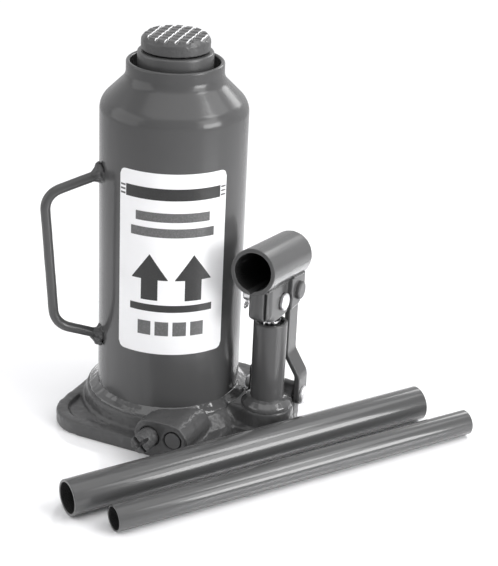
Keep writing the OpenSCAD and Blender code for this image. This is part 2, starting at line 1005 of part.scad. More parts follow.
module outlet_ball() {
    ball_r = 2.4;
    color(bright)
        translate([pump_x, outlet_y, 9.5 - sqrt(ball_r * ball_r - 2.25) - 0.02])
            sphere(ball_r);
}

module outlet_spring() {
    color(dark_steel)
        translate([pump_x, outlet_y, 2.25])
            coil(2.3, 0.3, 3.2, 2);
}

module outlet_plug() {
    color(dark_steel)
        difference() {
            bar_z(pump_x, outlet_y, 2.95, 0.2, 2.2);
            bar_z(pump_x, outlet_y, 1.5, 0, 1.4, $fn = 6);
        }
}

module gallery_plugs() {
    color(dark_steel) {
        bar_x(outlet_y, gallery_z, 2.55, plug_x + 0.05, pump_x + 17.5);
        bar_x(inlet_y, suction_z, 2.55, plug_x + 0.05, pump_x + 17.5);
    }
}

module suction_strainer() {
    color("silver")
        difference() {
            union() {
                bar_z(suction_x, inlet_y, 3.4, register_z + 0.02, register_z + 3);
                bar_z(suction_x, inlet_y, 1.75, register_z - 4, register_z + 1);
            }
            bar_z(suction_x, inlet_y, 1.2, register_z - 5, register_z + 2.2);
            for (a = [0:60:300])
                translate([suction_x, inlet_y, register_z + 1.6])
                    rotate([0, 90, a])
                        cylinder(r = 0.5, h = 5);
        }
}

// ---- loose handle pipes, lying on the floor in front of the jack

module pipe(d, wall) {
    rotate([0, 90, 0])
        difference() {
            cylinder(d = d, h = pipe_len);
            translate([0, 0, -through])
                cylinder(d = d - 2 * wall, h = pipe_len + 2 * through);
        }
}

module handle_pipe_large() {
    color("gray")
        translate([10.5, -140, pipe_large_d / 2])
            rotate([0, 0, 56.5])
                pipe(pipe_large_d, 1.6);
}

module handle_pipe_small() {
    color("gray")
        translate([41, -142, pipe_small_d / 2])
            rotate([0, 0, 55.7])
                pipe(pipe_small_d, 1.2);
}

base();
reservoir_tank();
tank_weld_bead();
pump_weld_collar();
carry_handle();
carry_handle_welds();
pressure_cylinder();
cylinder_gasket();
top_nut();
nut_o_ring();
ram_wiper();
pump_cylinder();
pump_gasket();
pump_gland();
filler_plug();
suction_strainer();
outlet_plug();
gallery_plugs();
inlet_ball();
outlet_ball();
outlet_spring();
safety_screw();
safety_spring();
safety_ball();
label();
ram();
piston_guide_ring();
cup_seal();
seal_retaining_ring();
screw_stop_ring();
extension_screw();
saddle();
pump_plunger();
plunger_seal();
plunger_pin();
plunger_split_pin();
handle_socket();
link_strap_left();
link_strap_right();
link_pin();
link_split_pin();
lower_link_pin();
lower_split_pin();
release_valve_stem();
release_o_ring();
release_ball();
handle_pipe_large();
handle_pipe_small();
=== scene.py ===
"""Looks of the bottle jack: detailed pieces, materials, floor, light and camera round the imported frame."""

import json
import math

import bmesh
import bpy
from mathutils import Matrix, Vector, noise


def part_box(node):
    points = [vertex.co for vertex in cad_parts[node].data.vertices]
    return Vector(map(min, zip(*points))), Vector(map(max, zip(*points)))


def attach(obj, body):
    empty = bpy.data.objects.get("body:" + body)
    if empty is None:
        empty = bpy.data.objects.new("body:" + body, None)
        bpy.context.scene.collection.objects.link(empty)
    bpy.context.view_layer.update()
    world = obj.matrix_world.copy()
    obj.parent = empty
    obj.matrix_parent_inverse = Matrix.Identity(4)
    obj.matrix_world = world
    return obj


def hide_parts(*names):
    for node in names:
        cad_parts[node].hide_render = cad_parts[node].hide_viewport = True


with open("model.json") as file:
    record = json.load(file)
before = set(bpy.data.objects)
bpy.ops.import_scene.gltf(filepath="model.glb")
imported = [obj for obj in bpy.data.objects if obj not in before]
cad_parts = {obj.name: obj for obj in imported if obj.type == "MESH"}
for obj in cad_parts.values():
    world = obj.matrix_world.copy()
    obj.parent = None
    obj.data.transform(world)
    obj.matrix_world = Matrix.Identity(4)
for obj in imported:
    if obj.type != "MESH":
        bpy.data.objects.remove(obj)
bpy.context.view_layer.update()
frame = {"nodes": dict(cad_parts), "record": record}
nodes = frame["nodes"]
MM = 0.001


# ---------------------------------------------------------------- sizes taken from the frame


def centre(node):
    low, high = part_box(node)
    return (low + high) / 2


def size(node):
    low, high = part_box(node)
    return high - low


TANK_R = size("reservoir_tank").x / 2
TANK_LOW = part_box("reservoir_tank")[0].z
TANK_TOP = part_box("reservoir_tank")[1].z
PUMP_X = centre("pump_cylinder").x
PUMP_R = size("pump_cylinder").x / 2
ARM_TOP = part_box("pump_weld_collar")[0].z


# ---------------------------------------------------------------- meshes


def add_mesh(name, points, faces, sharp=40):
    """A new object; edges sharper than `sharp` degrees stay crisp."""
    mesh = bpy.data.meshes.new(name)
    mesh.from_pydata([tuple(p) for p in points], [], faces)
    work = bmesh.new()
    work.from_mesh(mesh)
    bmesh.ops.remove_doubles(work, verts=work.verts, dist=1e-7)
    bmesh.ops.recalc_face_normals(work, faces=work.faces)
    work.to_mesh(mesh)
    work.free()
    obj = bpy.data.objects.new(name, mesh)
    bpy.context.scene.collection.objects.link(obj)
    shade(obj, sharp)
    return obj


def shade(obj, sharp=40):
    obj.data.polygons.foreach_set("use_smooth", [True] * len(obj.data.polygons))
    obj.data.set_sharp_from_angle(angle=math.radians(sharp))


def rounded(points, radii, steps=6, closed=True):
    """An outline of (a, b) points with each corner rounded to its radius."""
    count = len(points)
    out = []
    for i, radius in enumerate(radii):
        here = Vector(points[i])
        if radius == 0 or (not closed and i in (0, count - 1)):
            out.append(here)
            continue
        back = (Vector(points[i - 1]) - here).normalized()
        ahead = (Vector(points[(i + 1) % count]) - here).normalized()
        half = back.angle(ahead) / 2
        take = radius / math.tan(half)
        middle = here + (back + ahead).normalized() * radius / math.sin(half)
        first = here + back * take - middle
        last = here + ahead * take - middle
        for k in range(steps + 1):
            share = k / steps
            arm = first * (1 - share) + last * share
            out.append(middle + arm.normalized() * radius)
    return out


def spin(name, outline, x=0.0, y=0.0, steps=192, closed=True, sharp=40):
    """A turned shape about an upright axis. The outline holds (radius, height) points."""
    rows = len(outline)
    points = []
    for i in range(steps):
        turn = 2 * math.pi * i / steps
        for radius, height in outline:
            points.append((x + radius * math.cos(turn), y + radius * math.sin(turn), height))
    faces = []
    for i in range(steps):
        here, there = i * rows, (i + 1) % steps * rows
        for k in range(rows if closed else rows - 1):
            up = (k + 1) % rows
            faces.append((here + k, there + k, there + up, here + up))
    return add_mesh(name, points, faces, sharp)


def lay(obj, origin, direction):
    """Turns a shape that was made along +Z so that +Z points along direction, from origin."""
    turn = Vector(direction).to_track_quat("Z", "Y").to_matrix().to_4x4()
    obj.data.transform(Matrix.Translation(Vector(origin)) @ turn)
    return obj


def sweep(name, path, radius, sides=24, closed=False, swell=None):
    """A round bar along a path. swell(i) scales its radius at point i."""
    path = [Vector(p) for p in path]
    count = len(path)
    points = []
    normal = None
    for i, here in enumerate(path):
        if closed:
            along = (path[(i + 1) % count] - path[i - 1]).normalized()
        else:
            along = (path[min(i + 1, count - 1)] - path[max(i - 1, 0)]).normalized()
        if normal is None:
            normal = along.orthogonal().normalized()
        normal = (normal - along * normal.dot(along)).normalized()
        side = along.cross(normal)
        r = radius * (swell(i) if swell else 1.0)
        for k in range(sides):
            turn = 2 * math.pi * k / sides
            points.append(here + (normal * math.cos(turn) + side * math.sin(turn)) * r)
    faces = []
    for i in range(count if closed else count - 1):
        here, there = i * sides, (i + 1) % count * sides
        for k in range(sides):
            up = (k + 1) % sides
            faces.append((here + k, here + up, there + up, there + k))
    if not closed:
        faces.append(tuple(range(sides)))
        faces.append(tuple(range((count - 1) * sides, count * sides)))
    return add_mesh(name, points, faces, 60)


def roughen(obj, amount, grain, seed=0.0, keep=None):
    """Moves each point along its normal by smooth noise of the given grain size."""
    shift = Vector((seed, seed * 1.7, seed * 0.3))
    moves = []
    for point in obj.data.vertices:
        share = noise.fractal(point.co / grain + shift, 0.6, 2.0, 3)
        if keep is not None:
            share *= keep(point.co)
        moves.append(point.co + point.normal * share * amount)
    for point, place in zip(obj.data.vertices, moves):
        point.co = place
    obj.data.update()
    return obj


def bake_modifiers(obj):
    """Replaces the object's mesh by what its modifiers make of it."""
    bpy.context.view_layer.update()
    graph = bpy.context.evaluated_depsgraph_get()
    mesh = bpy.data.meshes.new_from_object(obj.evaluated_get(graph))
    obj.modifiers.clear()
    obj.data = mesh
    return obj


def copy_of(node, name):
    """A new object with the CAD node's shape, its seams closed."""
    mesh = nodes[node].data.copy()
    work = bmesh.new()
    work.from_mesh(mesh)
    bmesh.ops.remove_doubles(work, verts=work.verts, dist=2e-6)
    work.to_mesh(mesh)
    work.free()
    mesh.materials.clear()
    if mesh.has_custom_normals:
        mesh.attributes.remove(mesh.attributes["custom_normal"])
    obj = bpy.data.objects.new(name, mesh)
    bpy.context.scene.collection.objects.link(obj)
    return obj


def cast(node, name, voxel, smoothing, melt=None):
    """The CAD node's shape with every edge and inside corner softened, as cast or thickly painted metal.
    melt(point) is how much a point takes part in 30 more rounds of softening."""
    obj = copy_of(node, name)
    remesh = obj.modifiers.new("remesh", "REMESH")
    remesh.mode = "VOXEL"
    remesh.voxel_size = voxel
    smooth = obj.modifiers.new("smooth", "SMOOTH")
    smooth.factor = 0.5
    smooth.iterations = smoothing
    bake_modifiers(obj)
    if melt:
        group = obj.vertex_groups.new(name="melt")
        for point in obj.data.vertices:
            share = melt(point.co)
            if share > 0:
                group.add([point.index], share, "REPLACE")
        smooth = obj.modifiers.new("melt", "SMOOTH")
        smooth.factor = 0.5
        smooth.iterations = 30
        smooth.vertex_group = "melt"
        bake_modifiers(obj)
        obj.vertex_groups.clear()
    shade(obj, 60)
    return obj


def soft_edges(obj, width, segments=3, angle=28):
    """Rounds the edges of a crisp shape."""
    weld = obj.modifiers.new("weld", "WELD")
    weld.merge_threshold = 2e-6
    bevel = obj.modifiers.new("edges", "BEVEL")
    bevel.width = width
    bevel.segments = segments
    bevel.limit_method = "ANGLE"
    bevel.angle_limit = math.radians(angle)
    bevel.harden_normals = False
    return obj


# ---------------------------------------------------------------- materials


class Finish:
    """A node material under construction. Its textures are placed in the jack's own metres."""

    def __init__(self, name):
        self.material = bpy.data.materials.new(name)
        self.material.use_nodes = True
        self.tree = self.material.node_tree
        self.surface = self.tree.nodes["Principled BSDF"]
        self.place = self.add("ShaderNodeTexCoord").outputs["Object"]

    def add(self, kind, **settings):
        node = self.tree.nodes.new(kind)
        for key, value in settings.items():
            setattr(node, key, value)
        return node

    def feed(self, socket, value):
        if isinstance(value, bpy.types.NodeSocket):
            self.tree.links.new(value, socket)
        else:
            socket.default_value = value

    def set(self, **inputs):
        for key, value in inputs.items():
            self.feed(self.surface.inputs[key.replace("_", " ")], value)

    def stretched(self, scale):
        node = self.add("ShaderNodeMapping")
        self.feed(node.inputs["Vector"], self.place)
        node.inputs["Scale"].default_value = scale
        return node.outputs[0]

    def noise(self, grain, detail=3.0, place=None):
        node = self.add("ShaderNodeTexNoise")
        self.feed(node.inputs["Vector"], place or self.place)
        node.inputs["Scale"].default_value = 1 / grain
        node.inputs["Detail"].default_value = detail
        return node.outputs[0]

    def spots(self, grain):
        node = self.add("ShaderNodeTexVoronoi")
        self.feed(node.inputs["Vector"], self.place)
        node.inputs["Scale"].default_value = 1 / grain
        return node.outputs["Distance"]

    def spread(self, value, low, high, out_low, out_high):
        """Maps low..high to out_low..out_high, and holds the ends."""
        node = self.add("ShaderNodeMapRange")
        for socket, number in zip(node.inputs, (value, low, high, out_low, out_high)):
            self.feed(socket, number)
        return node.outputs[0]

    def times(self, a, b, operation="MULTIPLY"):
        node = self.add("ShaderNodeMath", operation=operation)
        self.feed(node.inputs[0], a)
        self.feed(node.inputs[1], b)
        return node.outputs[0]

    def mix(self, share, a, b):
        node = self.add("ShaderNodeMix", data_type="RGBA")
        self.feed(node.inputs["Factor"], share)
        self.feed(node.inputs[6], a)
        self.feed(node.inputs[7], b)
        return node.outputs[2]

    def bump(self, height, distance, under=None):
        node = self.add("ShaderNodeBump")
        node.inputs["Distance"].default_value = distance
        self.feed(node.inputs["Height"], height)
        if under is not None:
            self.feed(node.inputs["Normal"], under)
        return node.outputs[0]


def grey(value):
    return (value, value, value * 1.01, 1.0)


def paint(name, shade_value, roughness, wave, grit, coat=0.15):
    """Gloss enamel: slow waves of a thick coat, fine orange peel, and grit where the metal under it is cast."""
    f = Finish(name)
    cloud = f.noise(0.03, 4)
    f.set(
        Base_Color=f.mix(f.spread(cloud, 0.3, 0.7, 0, 1), grey(shade_value * 0.97), grey(shade_value * 1.03)),
        Roughness=f.spread(f.noise(0.012, 3), 0.25, 0.75, roughness * 0.93, roughness * 1.09),
        Specular_IOR_Level=0.3,
        Coat_Weight=coat,
        Coat_Roughness=0.08,
    )
    waves = f.bump(f.noise(0.011, 1), wave)
    peel = f.bump(f.noise(0.0016, 2), 0.000012, waves)
    f.set(Normal=f.bump(f.noise(0.0007, 4), grit, peel) if grit else peel)
    return f.material


def bare_steel(name, shade_value, roughness, ring_scale):
    """Turned or ground steel, its tool marks running round an upright axis."""
    f = Finish(name)
    marks = f.noise(1.0, 3, f.stretched((30, 30, ring_scale)))
    f.set(
        Base_Color=f.mix(f.spread(f.noise(0.02, 4), 0.35, 0.65, 0, 1), grey(shade_value * 0.9), grey(shade_value * 1.1)),
        Metallic=1.0,
        Roughness=f.spread(marks, 0.3, 0.7, roughness * 0.75, roughness * 1.3),
        Normal=f.bump(marks, 0.00002),
    )
    return f.material


def plated(name, shade_value, roughness, dimple=0.00003):
    f = Finish(name)
    haze = f.noise(0.003, 4)
    f.set(
        Base_Color=grey(shade_value),
        Metallic=1.0,
        Roughness=f.spread(haze, 0.3, 0.7, roughness * 0.7, roughness * 1.5),
        Normal=f.bump(f.noise(0.002, 2), dimple),
    )
    return f.material


def coloured_metal(name, colour, roughness):
    f = Finish(name)
    dark = tuple(c * 0.7 for c in colour[:3]) + (1.0,)
    f.set(
        Base_Color=f.mix(f.spread(f.noise(0.006, 4), 0.35, 0.65, 0, 1), dark, colour),
        Metallic=1.0,
        Roughness=roughness,
    )
    return f.material


def rubber():
    f = Finish("rubber")
    f.set(
        Base_Color=grey(0.02),
        Roughness=f.spread(f.noise(0.004, 3), 0.3, 0.7, 0.45, 0.65),
        Normal=f.bump(f.noise(0.0006, 3), 0.00003),
    )
    return f.material


def film():
    f = Finish("label_film")
    f.set(
        Base_Color=f.mix(f.spread(f.noise(0.04, 3), 0.3, 0.7, 0, 1), grey(0.88), grey(0.95)),
        Roughness=0.38,
        Coat_Weight=0.25,
        Coat_Roughness=0.2,
        Normal=f.bump(f.noise(0.012, 1), 0.00002),
    )
    return f.material


def ink(name, shade_value):
    f = Finish(name)
    f.set(
        Base_Color=f.mix(f.spread(f.noise(0.001, 4), 0.4, 0.75, 0, 1), grey(shade_value), grey(shade_value * 1.5)),
        Roughness=0.42,
        Coat_Weight=0.25,
        Coat_Roughness=0.2,
    )
    return f.material


GREY = 0.078
finishes = {
    "enamel": paint("enamel", GREY, 0.22, 0.00008, 0),
    "cast_enamel": paint("cast_enamel", GREY * 0.97, 0.3, 0.0002, 0.00005),
    "rough_enamel": paint("rough_enamel", GREY * 1.1, 0.34, 0.0005, 0.00035),
    "wet_enamel": paint("wet_enamel", GREY, 0.2, 0.0004, 0, 0.9),
    "pipe_enamel": paint("pipe_enamel", GREY * 0.9, 0.24, 0.00006, 0, 0.6),
    "dark_steel": bare_steel("dark_steel", 0.2, 0.4, 500),
    # near-black enamel put inside the socket bore and the pipes as painted shade
    "painted_shade": paint("painted_shade", 0.02, 0.45, 0.0004, 0.0009),
    "chrome": plated("chrome", 0.86, 0.12),
    "zinc": plated("zinc", 0.72, 0.2),
    "pin_head": plated("pin_head", 0.92, 0.42, 0.000005),
    "copper": coloured_metal("copper", (0.72, 0.38, 0.25, 1), 0.35),
    "bronze": coloured_metal("bronze", (0.62, 0.47, 0.22, 1), 0.35),
    "rubber": rubber(),
    "film": film(),
    "ink_black": ink("ink_black", 0.012),
    "ink_grey": ink("ink_grey", 0.1),
}


def finish_with(obj, finish):
    obj.data.materials.clear()
    obj.data.materials.append(finishes[finish])
    return obj


def place(obj, body, slot, finish, *replaced):
    """Puts a new piece on its body with its finish, in place of the CAD nodes named."""
    finish_with(obj, finish)
    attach(obj, body)
    if replaced:
        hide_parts(*replaced)
    return obj


# ---------------------------------------------------------------- tank, label and weld


def build_tank():
    shoulder_r, shoulder_z = 12 * MM, 195 * MM
    wall, neck_r, lip = 2.5 * MM, 28.5 * MM, 1.2 * MM
    corner = (TANK_R, shoulder_z + shoulder_r * math.tan(math.radians(22.5)))
    neck_foot = (neck_r, corner[1] + TANK_R - neck_r)
    bore = neck_r - wall
    outline = rounded(
        [(TANK_R, TANK_LOW), corner, neck_foot, (neck_r, TANK_TOP), (bore, TANK_TOP),
         (bore, neck_foot[1] - 0.5 * MM), (TANK_R - wall, corner[1] - 1.5 * MM), (TANK_R - wall, TANK_LOW)],
        [0, shoulder_r, 8.5 * MM, lip, lip, 2 * MM, 9 * MM, 0],
        steps=14,
    )
    tank = spin("tank", outline, steps=256)
    return place(tank, "root", "enamel", "enamel", "reservoir_tank")


def build_tank_weld():
    low, high = TANK_LOW - 0.6 * MM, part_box("tank_weld_bead")[1].z
    reach = size("tank_weld_bead").x / 2
    crown = [(reach - 0.1 * MM, low), (reach - 0.2 * MM, low + 1.4 * MM), (TANK_R + 2.6 * MM, low + 3.1 * MM),
             (TANK_R + 1.2 * MM, high - 0.9 * MM), (TANK_R + 0.2 * MM, high), (TANK_R - 0.8 * MM, high - 0.3 * MM)]
    outline = rounded(crown + [(TANK_R - 0.8 * MM, low)], [0.4 * MM, 1.2 * MM, 1.5 * MM, 1 * MM, 0.3 * MM, 0, 0], 4)
    bead = spin("tank_weld", outline, steps=480, sharp=75)
    roughen(bead, 0.35 * MM, 8 * MM, 3.1)
    roughen(bead, 0.05 * MM, 2.2 * MM, 8.0)
    return place(bead, "root", "enamel", "wet_enamel", "tank_weld_bead")


LABEL_HEADING = math.radians(-62.3)
LABEL_HALF = math.radians(43.8) * TANK_R
LABEL_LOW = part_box("label")[0].z
LABEL_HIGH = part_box("label")[1].z
LABEL_MID = (LABEL_LOW + LABEL_HIGH) / 2


def wrap(u, v, lift):
    """A point of the label's sheet: u across and v up from its middle, lift off the tank."""
    turn = LABEL_HEADING + u / TANK_R
    r = TANK_R + lift
    return (r * math.cos(turn), r * math.sin(turn), LABEL_MID + v)


def printed(name, u_low, u_high, low, high, finish, lift=0.19 * MM, thick=0.03 * MM, slot="label_film"):
    """A thin patch on the label between the curves low(u) and high(u)."""
    columns = max(2, round((u_high - u_low) / (1.0 * MM)))
    rows = 2
    points = []
    for level in (lift, lift + thick):
        for i in range(columns + 1):
            u = u_low + (u_high - u_low) * i / columns
            for k in range(rows + 1):
                points.append(wrap(u, low(u) + (high(u) - low(u)) * k / rows, level))
    layer = (columns + 1) * (rows + 1)
    faces = []
    for i in range(columns):
        for k in range(rows):
            a = i * (rows + 1) + k
            b = a + rows + 1
            faces.append((a, a + 1, b + 1, b))
            faces.append((layer + a, layer + b, layer + b + 1, layer + a + 1))
    for i in range(columns):
        for k in (0, rows):
            a = i * (rows + 1) + k
            b = a + rows + 1
            faces.append((a, b, layer + b, layer + a))
    for i in (0, columns):
        for k in range(rows):
            a = i * (rows + 1) + k
            faces.append((a, a + 1, layer + a + 1, layer + a))
    return place(add_mesh(name, points, faces), "root", slot, finish)


def build_label():
    corner = 4 * MM
    half_height = (LABEL_HIGH - LABEL_LOW) / 2

    def edge(u):
        near = max(0.0, abs(u) - (LABEL_HALF - corner))
        return half_height - corner + math.sqrt(max(0.0, corner * corner - near * near))

    sheet = printed("label_sheet", -LABEL_HALF, LABEL_HALF, lambda u: -edge(u), edge, "film", 0.01 * MM, 0.16 * MM)
    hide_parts("label")

    def bar(name, u, v, width, height, finish="ink_grey", slant=0.0):
        printed(name, u - width / 2, u + width / 2, lambda x: v - height / 2 + slant * (x - u),
                lambda x: v + height / 2 + slant * (x - u), finish)

    def arrow(name, u, v, width, height):
        head = height * 0.55
        printed(name + "_head", u - width / 2, u + width / 2, lambda x: v + height - head,
                lambda x: v + height - head * abs(x - u) / (width / 2) * 0.98, "ink_black")
        bar(name + "_shaft", u, v + (height - head) / 2, width * 0.46, height - head, "ink_black")

    top = half_height - 12.5 * MM
    bar("label_band", 0, top, 2 * LABEL_HALF - 9 * MM, 7.2 * MM, "ink_black")
    for side in (-1, 1):
        for i in (-1, 0, 1):
            bar(f"label_tick_{side + 1}_{i + 1}", side * (LABEL_HALF - 2.3 * MM), top + i * 2.5 * MM, 3.4 * MM, 1.1 * MM)
    for i, width in enumerate((44 * MM, 50 * MM)):
        bar(f"label_line_{i}", 0, top - (14 + 9.5 * i) * MM, width, 5.6 * MM)
    for i, u in enumerate((-13 * MM, 13 * MM)):
        arrow(f"label_arrow_{i}", u, -22 * MM, 22 * MM, 29 * MM)
    bar("label_base_line", 0, -27 * MM, 50 * MM, 4.5 * MM, "ink_black")
    for i in range(4):
        bar(f"label_foot_{i}", (i - 1.5) * 10.5 * MM, -40 * MM, 8 * MM, 9 * MM)


# ---------------------------------------------------------------- base


def build_base():
    floor_z = 1.2 * MM
    half_y = 61.5 * MM

    def melt(p):
        """All of the foot plate and hub, but not the machined bores, faces and ledges."""
        on_boss = 6 * MM < p.x < 48 * MM and p.y < -47 * MM
        round_lug = p.x > 52 * MM and p.y > 5 * MM
        in_bore = math.hypot(p.x - PUMP_X, p.y) < PUMP_R + 1 * MM
        inside = math.hypot(p.x, p.y) < 46 * MM
        rim = math.hypot(p.x, p.y) > 57.5 * MM or abs(p.x) > 50 * MM
        if p.z < 2 * MM or inside or in_bore or round_lug:
            return 0.0
        if on_boss:
            return 0.08 if p.y < 5 * MM - half_y else 0.3
        return 1.0 if rim else 0.25

    base = cast("base", "base_casting", 0.75 * MM, 4, melt)
    roughen(base, 0.28 * MM, 7 * MM, 1.0, lambda p: min(1.0, max(0.0, (p.z - floor_z) / (3 * MM))))
    return place(base, "root", "enamel", "cast_enamel", "base")


def build_pump_weld():
    reach = size("pump_weld_collar").x / 2
    low = ARM_TOP - 0.7 * MM
    outline = rounded(
        [(reach + 0.2 * MM, low), (reach - 0.2 * MM, low + 2.6 * MM), (PUMP_R + 2.4 * MM, low + 5.2 * MM),
         (PUMP_R + 0.1 * MM, low + 6.2 * MM), (PUMP_R - 0.8 * MM, low + 6 * MM), (PUMP_R - 0.8 * MM, low)],
        [0.4 * MM, 2.2 * MM, 2 * MM, 0.2 * MM, 0, 0], 6)
    bead = spin("pump_weld", outline, PUMP_X, 0, 240, sharp=75)
    roughen(bead, 0.3 * MM, 6 * MM, 5.0)
    return place(bead, "root", "enamel", "wet_enamel", "pump_weld_collar")


# ---------------------------------------------------------------- carry handle


def arc_path(points, radii, steps=10):
    """A path in a plane with round bends, then evened out to short straight runs."""
    bends = rounded(points, radii, steps, closed=False)
    out = [bends[0]]
    for here in bends[1:]:
        gap = (here - out[-1]).length
        runs = max(1, round(gap / (2 * MM)))
        start = out[-1]
        out += [start + (here - start) * k / runs for k in range(1, runs + 1)]
    return out


def build_carry_handle():
    heading = math.radians(224)
    out = Vector((math.cos(heading), math.sin(heading), 0))
    flat = [(42, 159), (77.3, 148), (72, 65), (42, 54.1)]
    path = arc_path([(a * MM, b * MM) for a, b in flat], [0, 12 * MM, 14 * MM, 0])
    line = [out * a + Vector((0, 0, b)) for a, b in path]
    rod = sweep("carry_rod", line, 3 * MM, 32)
    roughen(rod, 0.1 * MM, 9 * MM, 2.0)
    place(rod, "root", "enamel", "enamel", "carry_handle")
    for i, (end, inner) in enumerate(((line[0], line[3]), (line[-1], line[-4]))):
        along = (inner - end).normalized()
        start = out * (TANK_R - 1 * MM) + Vector((0, 0, end.z)) + along * 0.2 * MM
        outline = rounded([(0, 0), (6.6 * MM, 0), (6.3 * MM, 2.2 * MM), (4.4 * MM, 3.6 * MM), (3.1 * MM, 6.2 * MM),
                           (0, 6.2 * MM)], [0, 0.4 * MM, 1.2 * MM, 1.2 * MM, 0.2 * MM, 0], 5)
        blob = spin(f"carry_weld_{i}", outline, steps=72, sharp=80)
        lay(blob, start, along)
        roughen(blob, 1.3 * MM, 3.4 * MM, 4.0 + i)
        place(blob, "root", "enamel", "cast_enamel", *(["carry_handle_welds"] if i == 0 else []))


# ---------------------------------------------------------------- ram, screw and saddle


def build_ram():
    low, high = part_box("ram")
    r = size("ram").x / 2
    bore = size("extension_screw").x / 2 + 0.05 * MM
    spigot, shelf = 17 * MM, 31 * MM
    outline = rounded(
        [(0, low.z), (spigot, low.z), (spigot, shelf), (r, shelf), (r, high.z), (bore, high.z),
         (bore, 60 * MM), (0, 60 * MM)],
        [0, 1 * MM, 0, 0.6 * MM, 1.3 * MM, 0.7 * MM, 0, 0], 6, closed=True)
    ram = spin("ram_rod", outline, steps=192)
    return place(ram, "ram", "dark_steel", "ram_finish", "ram")


def build_screw():
    low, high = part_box("extension_screw")
    crest = size("extension_screw").x / 2
    root = crest - 1.7 * MM
    pitch = 5 * MM
    smooth_low = 121 * MM
    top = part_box("saddle")[0].z
    phases = [(0.0, root), (0.28, root), (0.42, crest), (0.78, crest), (0.92, root)]
    steps = 96
    turns = math.ceil((top - smooth_low) / pitch) + 1
    rows = [(n + phase, r) for n in range(-1, turns) for phase, r in phases]
    points = []
    for i in range(steps + 1):
        share = i / steps
        for phase, r in rows:
            z = smooth_low + pitch * (phase + share)
            inside = smooth_low < z < top
            points.append((
                (r if inside else root) * math.cos(2 * math.pi * share),
                (r if inside else root) * math.sin(2 * math.pi * share),
                min(max(z, smooth_low), top),
            ))
    count = len(rows)
    faces = []
    for i in range(steps):
        for k in range(count - 1):
            a = i * count + k
            faces.append((a, a + count, a + count + 1, a + 1))
    thread = add_mesh("screw_thread", points, faces, 50)
    place(thread, "extension_screw", "dark_steel", "dark_steel")
    groove = 12 * MM
    stop_low, stop_high = 113 * MM, 117 * MM
    outline = rounded(
        [(0, low.z), (crest, low.z), (crest, stop_low), (groove, stop_low), (groove, stop_high), (crest, stop_high),
         (crest, smooth_low), (root + 0.1 * MM, smooth_low + 2 * MM), (root - 1 * MM, smooth_low + 2 * MM),
         (root - 1 * MM, top - 1 * MM), (9 * MM, top - 1 * MM), (9 * MM, high.z), (0, high.z)],
        [0, 1 * MM, 0.2 * MM, 0, 0, 0.2 * MM, 0.3 * MM, 0, 0, 0, 0, 0, 0], 4)
    core = spin("screw_core", outline, steps=128)
    place(core, "extension_screw", "dark_steel", "dark_steel", "extension_screw")


def build_saddle():
    saddle = cast("saddle", "saddle_pad", 0.42 * MM, 4)
    roughen(saddle, 0.12 * MM, 3 * MM, 6.0)
    return place(saddle, "extension_screw", "enamel", "saddle_enamel_and_highlight", "saddle")


# ---------------------------------------------------------------- pump


def mill_corners(pump):
    """Cuts the two corners at the back of the barrel, which the link straps swing past."""
    inner, outer, near, far = 4.4 * MM, 12 * MM, 7.8 * MM, 12 * MM
    low, high = 45 * MM, 80 * MM
    for side in (-1, 1):
        x0, x1 = sorted((PUMP_X + side * inner, PUMP_X + side * outer))
        points = [(x, y, z) for x in (x0, x1) for y in (near, far) for z in (low, high)]
        faces = [(0, 1, 3, 2), (4, 6, 7, 5), (0, 4, 5, 1), (2, 3, 7, 6), (0, 2, 6, 4), (1, 5, 7, 3)]
        cutter = add_mesh("cutter", points, faces)
        cut = pump.modifiers.new("cut", "BOOLEAN")
        cut.operation = "DIFFERENCE"
        cut.object = cutter
        bake_modifiers(pump)
        bpy.data.objects.remove(cutter)
    shade(pump)


def build_pump_cylinder():
    low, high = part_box("pump_cylinder")
    seat, bore = 8.1 * MM, 6.05 * MM
    outline = rounded(
        [(PUMP_R, low.z), (PUMP_R, high.z), (seat, high.z), (seat, high.z - 7 * MM), (bore, high.z - 7 * MM),
         (bore, low.z)],
        [0, 1 * MM, 0.5 * MM, 0, 0, 0], 6)
    pump = spin("pump_barrel", outline, PUMP_X, 0, 128)
    mill_corners(pump)
    return place(pump, "root", "enamel", "enamel", "pump_cylinder")


def build_pin(node, body, slot, finish):
    """A headed pin along X: domed chamfered head, shank with a pointed tip."""
    low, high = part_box(node)
    head_r = (high.z - low.z) / 2
    shank_r = 4 * MM
    head = 2.2 * MM
    length = high.x - low.x
    outline = rounded(
        [(0, 0), (shank_r - 0.8 * MM, 0), (shank_r, 0.8 * MM), (shank_r, length - head), (head_r, length - head),
         (head_r, length - 0.5 * MM), (head_r - 0.9 * MM, length - 0.02 * MM), (0, length)],
        [0, 0.3 * MM, 0.3 * MM, 0.2 * MM, 0.25 * MM, 0.35 * MM, 0.5 * MM, 0], 4)
    pin = spin(node + "_turned", outline, steps=72)
    lay(pin, (low.x, centre(node).y, centre(node).z), (1, 0, 0))
    return place(pin, body, slot, finish, node)


